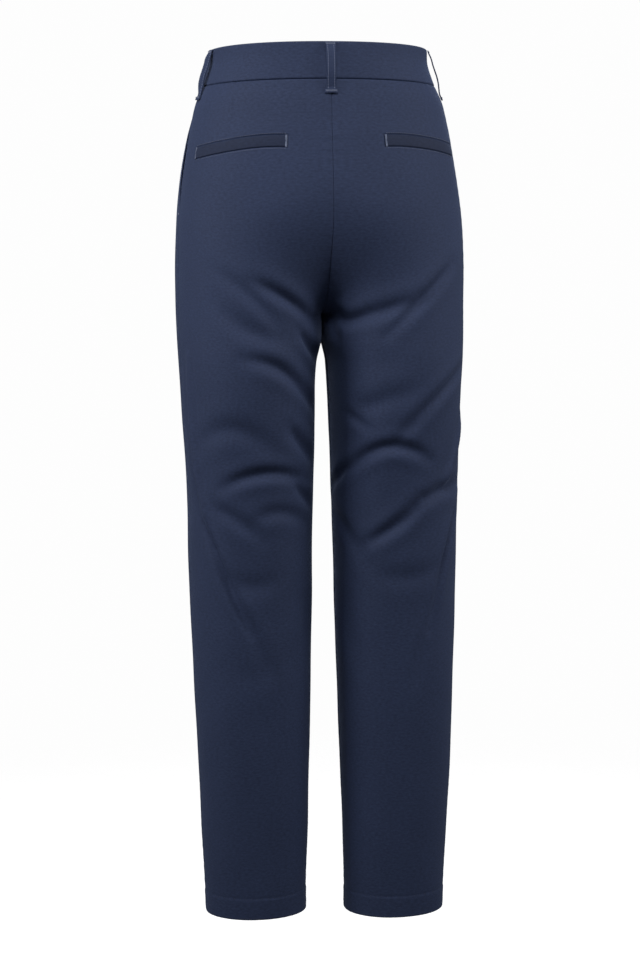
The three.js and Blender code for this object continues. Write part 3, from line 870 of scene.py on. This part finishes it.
LOOP_WIDTH = 10.5
LOOP_WALL = 1.5
LOOP_LENGTH = 57
LOOP_FLARE = 0.9  # how much wider the loop is at its top
LOOP_CHANNEL = (0.28, 1.75, 0.5)  # depth, distance from the edge, width of a stitched channel
LOOP_ROWS = (-3.5, 3.5)
FOOT_HEIGHT = 4.5  # the loop's foot, folded under and sewn down
FOOT_SPREAD = 3.6
FOOT_LIFT = 0.5
# drop, and the stand-off of the loop's inner face
LOOP_PATH = np.array([(0.6, 0.35), (4, 1.6), (8, 3.6), (13, 5.2), (27, 6.2), (36, 5.2),
                      (44, 3.0), (50, 0.9), (57, 0.4)])
# drop, half length and lift of the close stitching at a loop's two ends
LOOP_TACKS = [(3.0, 5.4, LOOP_WALL), (LOOP_LENGTH - 2.6, 6.4, LOOP_WALL + FOOT_LIFT)]
# name, leg, round, more stand-off, twist in degrees towards the back
LOOPS = [("back", 1, 0.0, 0.0, 0), ("left", 1, 0.44, 0.0, 17), ("right", -1, 0.44, 0.0, 0),
         ("front_left", 1, 0.83, 0.8, 0), ("front_right", -1, 0.83, 0.8, 0)]


def loop_place(loop, drop, sideways, lift):
    """Points on a loop, and its outward direction, from drop, distance sideways and lift."""
    _, side, around, slack, twist = loop
    drop, sideways, lift = np.broadcast_arrays(drop, sideways, lift)
    base = plain_point(side, around, drop)
    out = normal_at(side, np.full_like(drop, around), drop)
    if around == 0:
        out = np.zeros_like(base) + (0, 1, 0)
    out[..., 2] = 0
    out /= np.linalg.norm(out, axis=-1, keepdims=True)
    across = np.stack([-out[..., 1], out[..., 0], np.zeros(drop.shape)], axis=-1)
    stand = smooth_table(LOOP_PATH[:, 0], LOOP_PATH[:, 1], drop)
    stand = stand + slack * ease(stand / 6)
    turn = (np.radians(twist) * ease(stand / 5))[..., None]
    face = out * np.cos(turn) + across * np.sin(turn)
    wide = across * np.cos(turn) - out * np.sin(turn)
    point = base + out * stand[..., None] + wide * sideways[..., None] + face * lift[..., None]
    return point, face


def belt_loop(loop):
    down = (LOOP_PATH[0, 0] + stations(LOOP_LENGTH - LOOP_PATH[0, 0], 60))[:, None]
    foot = ease((down - (LOOP_LENGTH - FOOT_HEIGHT)) / 1.2)
    width = LOOP_WIDTH + LOOP_FLARE * (1 - ease(down / 9)) + FOOT_SPREAD * foot
    place = (stations(LOOP_WIDTH, 14) / LOOP_WIDTH)[None, :]
    sideways = (place - 0.5) * width
    rim = np.minimum(place, 1 - place) * LOOP_WIDTH
    ends = np.minimum(down - down[0], down[-1] - down)
    edges = roll(rim, "loop") + roll(ends, "loop")
    channel = LOOP_CHANNEL[0] * hump(rim, *LOOP_CHANNEL[1:])
    skin = LOOP_WALL - edges - channel + FOOT_LIFT * foot
    outer, _ = loop_place(loop, down, sideways, skin)
    inner, _ = loop_place(loop, down, sideways, 0.5 * edges)
    piece = shell(f"loop_{loop[0]}_cloth", outer, inner, sideways, down, BAND_TWILL)
    return settle(piece, "band_twill", f"loop_{loop[0]}")


def loop_runs(loop):
    """Two rows of stitching down a loop, and the close stitching across its ends."""
    down = np.linspace(1.5, LOOP_LENGTH - FOOT_HEIGHT, 60)
    rows = [loop_place(loop, down, shift, LOOP_WALL - 0.15) for shift in LOOP_ROWS]
    tacks = []
    for drop, reach, lift in LOOP_TACKS:
        sideways = np.linspace(-reach, reach, 12)
        tacks.append(bartack(*loop_place(loop, np.full(12, drop), sideways, lift)))
    return rows, tacks


# ---- Back pockets ----

WELT_FULLNESS = 0.3
WELT_GAP = 0.15  # between a welt and the panel it is let into
WELT_STITCH_OUT = 2.1  # how far outside the welt its edge stitching runs
WELT_STITCH_LIFT = 0.2


def welt_grid(row, across_places):
    around, middle = welt_path(row)
    run = np.concatenate([[0], np.cumsum(np.abs(np.diff(around)) * round_length(middle[1:]))])
    places = stations(run[-1], WELT_STEPS)
    mid_drop = np.interp(places, run, middle)
    mid_round = np.interp(places, run, around)
    drop = mid_drop[None, :] + (across_places - WELT_HEIGHT / 2)[:, None]
    return row[1], places, mid_round[None, :] * np.ones_like(drop), drop


def welt(row):
    down = stations(WELT_HEIGHT, 8)
    side, places, around, drop = welt_grid(row, down)
    plain, normal, height = cloth(side, around, drop)
    ends = np.minimum(places, places[-1] - places)[None, :]
    rim = np.minimum(down, WELT_HEIGHT - down)[:, None]
    edges = roll(rim, "welt") + roll(ends, "welt end")
    full = WELT_FULLNESS * np.sin(np.pi * down / WELT_HEIGHT)[:, None]
    floor = height - WELT_SINK + WELT_GAP
    outer = plain + normal * (floor + WELT_WALL + full - edges)[..., None]
    inner = plain + normal * floor[..., None]
    # the welt's darker twill is painted shade
    return shell(f"welt_{row[0]}_cloth", outer, inner, places[None, :], drop, SHADED_WELT_TWILL)


def welt_runs(row):
    """Edge stitching above and below a welt, and the close stitching at its ends."""
    runs = []
    for inset in (-WELT_STITCH_OUT, WELT_HEIGHT + WELT_STITCH_OUT):
        side, _, around, drop = welt_grid(row, np.array([inset]))
        runs.append(run_on(side, around[0, 3:-3], drop[0, 3:-3], WELT_STITCH_LIFT))
    tacks = []
    for end in (3, -4):
        side, _, around, drop = welt_grid(row, np.linspace(-0.6, WELT_HEIGHT + 0.6, 12))
        tacks.append(bartack(*run_on(side, around[:, end], drop[:, end], WELT_STITCH_LIFT + 0.1)))
    return runs, tacks


# ---- Fly, zip and button ----

# the fly's edges across the front, the drop where its curve starts, and its lowest point
FLY_INNER, FLY_OUTER, FLY_STRAIGHT, FLY_END = -5, 33, 138, 172
FLY_WALL = 1.0
FLY_GAP = 0.3
FLY_INSETS = (3.0, 8.5)  # of its two rows of stitching
ZIP_TOP, ZIP_LENGTH, ZIP_WIDTH = 42, 143, 24
ZIP_OUTER = 0.7  # how far behind the cloth the tape's two faces lie
ZIP_INNER = 1.5
TEETH_TOP, TEETH_END, TEETH_COUNT = 45, 182, 92
TOOTH_LENGTH, TOOTH_RADIUS = 5.2, 0.55
BUTTON_DROP = 20.0
BUTTON_WALL = 3.0
THREAD_SPREAD = 1.7  # distance of the button's two rows of thread from its middle


def front_place(x, drop):
    side = np.where(x < 0, -1.0, 1.0)
    return side, round_at(-1, np.abs(x), drop)


def front_surface(x, drop, out):
    side, around = front_place(x, drop)
    normal = normal_at(side, around, drop)
    return plain_point(side, around, drop) + normal * np.asarray(out)[..., None]


def fly_width(drop):
    foot = np.clip((drop - FLY_STRAIGHT) / (FLY_END - FLY_STRAIGHT + 2), 0, 1)
    return mix(FLY_INNER, FLY_OUTER, np.sqrt(1 - foot * foot)) - FLY_INNER


def fly_lap():
    low = BAND_DEPTH + TOP_GAP
    drop = low + stations(FLY_END - low, 60)
    places = stations(fly_width(drop), 18)
    far = places[:, -1:] - places
    drop = drop[:, None] * np.ones_like(places)
    edges = roll(places, "fly") + roll(drop - low, "fly top")
    blend = (FLY_WALL - 0.15) * (1 - ease((far - 0.2) / 5))
    lift = FLY_GAP + FLY_WALL - edges * 0.9 - blend
    outer = front_surface(FLY_INNER + places, drop, lift)
    inner = front_surface(FLY_INNER + places, drop, np.full_like(drop, 0.12))
    return shell("fly_lap_cloth", outer, inner, places, drop, TWILL)


def fly_runs():
    """The J of stitching, in two rows, that holds the fly."""
    curve = np.sin(np.linspace(0.05, 1.45, 30))
    drop = np.concatenate([np.linspace(BAND_DEPTH + 2, FLY_STRAIGHT, 40),
                           FLY_STRAIGHT + (FLY_END - FLY_STRAIGHT) * curve])
    runs = []
    for inset in FLY_INSETS:
        x = FLY_INNER + fly_width(drop) - inset
        keep = x > 1.5
        side, around = front_place(x[keep], drop[keep])
        normal = normal_at(side, around, drop[keep])
        points = plain_point(side, around, drop[keep]) + normal * (FLY_GAP + FLY_WALL)
        runs.append((points, normal))
    return runs


def zip_tape():
    drop = ZIP_TOP + stations(ZIP_LENGTH, 40)
    places = stations(ZIP_WIDTH, 12)
    drop = drop[:, None] * np.ones((1, len(places)))
    x = (places - ZIP_WIDTH / 2)[None, :] * np.ones_like(drop)
    rib = 0.8 * hump(x, 0, 1.6)
    outer = front_surface(x, drop, np.full_like(drop, -CLOTH - ZIP_OUTER))
    inner = front_surface(x, drop, -CLOTH - ZIP_INNER - rib)
    return shell("fly_zip_tape", outer, inner, x, drop, TAPE)


def zip_teeth():
    """A closed coil of teeth on the tape's inner face, with bars across it in turn."""
    drop = np.linspace(TEETH_TOP, TEETH_END, TEETH_COUNT)
    side, around = front_place(np.zeros_like(drop), drop)
    normal = normal_at(side, around, drop)
    centre = plain_point(side, around, drop) - normal * (CLOTH + ZIP_INNER + 1.0)
    across = np.zeros_like(centre) + (1, 0, 0)
    bars, faces = stitch_bars(centre, across, normal, TOOTH_LENGTH, TOOTH_RADIUS)
    return settle(new_mesh("fly_zip_teeth", bars, faces, DARK_THREAD), "stitching")


def turned_piece(name, profile, sides, material):
    """A body turned about Z, from (radius, height) points in millimetres."""
    angles = np.arange(sides) * 2 * np.pi / sides
    rings = []
    for r, z in profile:
        rings.append(np.stack([r * np.cos(angles), r * np.sin(angles), np.full(sides, z)], -1))
    points = np.concatenate(rings)
    index = np.arange(len(points)).reshape(len(profile), sides)
    a, b = index[:-1], np.roll(index[:-1], -1, axis=1)
    c, d = np.roll(index[1:], -1, axis=1), index[1:]
    faces = np.stack([a, b, c, d], axis=-1).reshape(-1, 4)
    return new_mesh(name, points, faces, material)


def button():
    low, high = (np.array(corner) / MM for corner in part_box("waist_button"))
    radius = (high[0] - low[0]) / 2
    # radius and height, as shares of the button's
    shares = [(0.9, 0), (0.97, 0.15), (1, 0.4), (1, 0.7), (0.97, 0.9), (0.9, 1),
              (0.78, 1), (0.70, 0.9), (0.62, 0.74), (0.3, 0.70)]
    profile = [(radius * r, BUTTON_WALL * z) for r, z in shares]
    profile = [(0.05, 0), *profile, (0.05, BUTTON_WALL * 0.70)]
    disc = turned_piece("waist_button_disc", profile, 64, BUTTON)
    front, drop = np.array(1.0), np.array(BUTTON_DROP)
    out = normal_at(1, front, drop)
    out[0] = 0
    seat = plain_point(1, front, drop) + out * 0.35
    seat[0] = 0
    turn = Vector((0, 0, 1)).rotation_difference(Vector(out))
    place = Matrix.Translation(Vector(seat) * MM) @ turn.to_matrix().to_4x4()
    disc.data.transform(place)
    settle(disc, "button", "waist_button")
    # two rows of three threads over the button's sunk middle
    centres = []
    for x in (-THREAD_SPREAD, THREAD_SPREAD):
        for shift in (-0.35, 0.0, 0.35):
            centres.append((x + shift, 0, BUTTON_WALL * 0.70 + 0.25))
    centres = np.array(centres)
    along = np.zeros_like(centres) + (0, 1, 0)
    up = np.zeros_like(centres) + (0, 0, 1)
    points, faces = stitch_bars(centres, along, up, 4.6, 0.3)
    threads = new_mesh("waist_button_thread", points, faces, THREAD)
    threads.data.transform(place)
    settle(threads, "stitching")


# ---- The garment ----

sheets = []  # piece, flat width and length, and flat area where the cut isn't a rectangle
for name, side in (("left", 1), ("right", -1)):
    back = leg_panel(f"back_{name}_cloth", side, at_centre_back, side_seam)
    front = leg_panel(f"front_{name}_cloth", side, pocket_mouth, at_centre_front)
    hip = hip_piece(f"hip_piece_{name}_cloth", side)
    settle(back, "twill", f"back_{name}_upper", f"back_{name}_lower")
    settle(front, "twill", f"front_{name}_upper", f"front_{name}_lower")
    settle(hip, "twill", f"hip_piece_{name}")
    sheets += [(back, (0.27, 0.98), 0.211), (front, (0.30, 0.98), 0.224),
               (hip, (0.076, 0.162), 0.0073)]

band = settle(waistband(), "band_twill", "waistband")
sheets.append((band, (0.83, 0.041), None))
lap_piece = settle(fly_lap(), "twill", "fly_lap")
sheets.append((lap_piece, (0.038, 0.131), 0.0047))
tape = settle(zip_tape(), "zip_tape", "fly_zip")
sheets.append((tape, (0.024, 0.143), None))
zip_teeth()
button()

MOUTH_STITCH_IN = 5.5  # how far inside the pocket's mouth its stitching runs
MOUTH_TACKS = (BAND_DEPTH + 8, BAND_DEPTH + POCKET_DEPTH - 2)

# runs of stitching: bright rows, faint rows, bright and faint close stitching
topstitch, edging, tacks, edge_tacks = [], [], [], []
for loop in LOOPS:
    sheets.append((belt_loop(loop), (0.0115, 0.0615), None))
    rows, ends = loop_runs(loop)
    topstitch += rows
    edge_tacks += ends
for row in WELTS:
    piece = settle(welt(row), "twill", f"welt_{row[0]}")
    sheets.append((piece, (0.127, 0.0125), None))
    runs, ends = welt_runs(row)
    edging += runs
    tacks.append(ends[0])
    edge_tacks.append(ends[1])
for side in (1, -1):
    drop = np.linspace(BAND_DEPTH + 3, BAND_DEPTH + POCKET_DEPTH, 80)
    around = pocket_mouth(drop) + MOUTH_STITCH_IN / round_length(drop)
    edging.append(run_on(side, around, drop, 0.15))
    for level in MOUTH_TACKS:
        drop = np.full(8, level)
        around = pocket_mouth(drop) + np.linspace(0, 6, 8) / round_length(drop)
        edge_tacks.append(bartack(*run_on(side, around, drop, 0.15)))
edging += fly_runs()

thread_piece("topstitching", topstitch, THREAD, TOPSTITCH)
thread_piece("edge_stitching", edging, EDGE_THREAD, TOPSTITCH)
thread_piece("bartacks", tacks, THREAD, TACK_STITCH)
thread_piece("edge_bartacks", edge_tacks, EDGE_THREAD, TACK_STITCH)
blind = []
for side in (1, -1):
    around = np.linspace(0.003, 0.997, 160)
    blind.append(run_on(side, around, np.full(160, HEM_LINE), -HEM_FULLNESS))
thread_piece("hem_stitches", blind, DARK_THREAD, BLIND_STITCH)


# ---- Floor, lights, camera ----

FLOOR_BELOW = 165  # under the hems
FLOOR_RADIUS = 6
FLOOR_FADE = {"From Min": 0.45, "From Max": 1.5, "To Min": 1, "To Max": 0}
FLOOR_LOOKS = {"Base Color": (0.93, 0.93, 0.93, 1), "Roughness": 0.9, "Specular IOR Level": 0.1,
               "Emission Color": (1, 1, 1, 1), "Emission Strength": 0.35}


def floor():
    """A pale disc under the hems that fades into the pale surroundings."""
    centre = (0, 0, -(HEM_DROP + FLOOR_BELOW) * MM)
    bpy.ops.mesh.primitive_circle_add(vertices=128, radius=FLOOR_RADIUS, fill_type="TRIFAN",
                                      location=centre)
    disc = bpy.context.object
    disc.name = "floor"
    material, tree, shader = new_material("pale_floor", FLOOR_LOOKS)
    where = node(tree, "TexCoord").outputs["Object"]
    far = node(tree, "VectorMath", {0: where}, operation="LENGTH")
    fade = node(tree, "MapRange", {"Value": far.outputs["Value"], **FLOOR_FADE},
                interpolation_type="SMOOTHSTEP")
    set_inputs(shader, {"Alpha": fade.outputs["Result"]})
    disc.data.materials.append(material)
    disc.visible_diffuse = False
    disc.visible_glossy = False


def surroundings():
    """A pale surround that the camera sees, and a dimmer one that lights the cloth."""
    world = bpy.data.worlds.new("studio")
    bpy.context.scene.world = world
    world.use_nodes = True
    tree = world.node_tree
    seen = tree.nodes["Background"]
    set_inputs(seen, {"Color": (0.985, 0.985, 0.985, 1), "Strength": 1.0})
    lit = node(tree, "Background", {"Color": (0.95, 0.97, 1.0, 1), "Strength": 0.15})
    by_camera = node(tree, "LightPath").outputs["Is Camera Ray"]
    choose = node(tree, "MixShader", {"Fac": by_camera, 1: lit.outputs["Background"],
                                                2: seen.outputs["Background"]})
    set_inputs(tree.nodes["World Output"], {"Surface": choose.outputs["Shader"]})


# name, place, what it points at, width and height, power
LIGHTS = [
    ("key", (0.25, 1.5, 1.5), (0, 0, -0.1), (1.0, 0.7), 29),
    ("left_side", (1.5, 0.5, 0.4), (0, 0, -0.4), (0.6, 1.1), 19),
    ("right_side", (-1.5, 0.6, 0.4), (0, 0, -0.4), (0.6, 1.1), 16),
    ("front_key", (-0.35, -1.7, 1.35), (0, 0, -0.15), (1.0, 0.7), 29),
]
CAMERA_TURNED = math.radians(8)  # from straight behind, towards the wearer's left
CAMERA_PITCH = math.radians(7.39)  # looking down
CAMERA_ROLL = math.radians(-0.3)
CAMERA_DISTANCE = 2.5
CAMERA_HEIGHT = -0.178
AIM_ACROSS = -0.0001


def softbox(name, place, aim, size, power):
    data = bpy.data.lights.new(name, "AREA")
    data.shape = "RECTANGLE"
    data.size, data.size_y = size
    data.energy = power
    light = bpy.data.objects.new(name, data)
    light.location = place
    light.rotation_euler = (Vector(aim) - Vector(place)).to_track_quat("-Z", "Y").to_euler()
    bpy.context.scene.collection.objects.link(light)


def camera():
    """Behind the garment, turned a little to its left, and looking slightly down."""
    data = bpy.data.cameras.new("camera")
    data.lens = 80
    data.sensor_width = 36
    seat = Vector((CAMERA_DISTANCE * math.sin(CAMERA_TURNED),
                   CAMERA_DISTANCE * math.cos(CAMERA_TURNED), CAMERA_HEIGHT))
    aim_height = CAMERA_HEIGHT - CAMERA_DISTANCE * math.tan(CAMERA_PITCH)
    level = (Vector((AIM_ACROSS, 0, aim_height)) - seat).to_track_quat("-Z", "Y")
    made = bpy.data.objects.new("camera", data)
    made.location = seat
    made.rotation_euler = (level @ Quaternion((0, 0, 1), CAMERA_ROLL)).to_euler()
    bpy.context.scene.collection.objects.link(made)
    bpy.context.scene.camera = made


floor()
surroundings()
for row in LIGHTS:
    softbox(*row)
camera()
bpy.context.scene.view_settings.view_transform = "Standard"
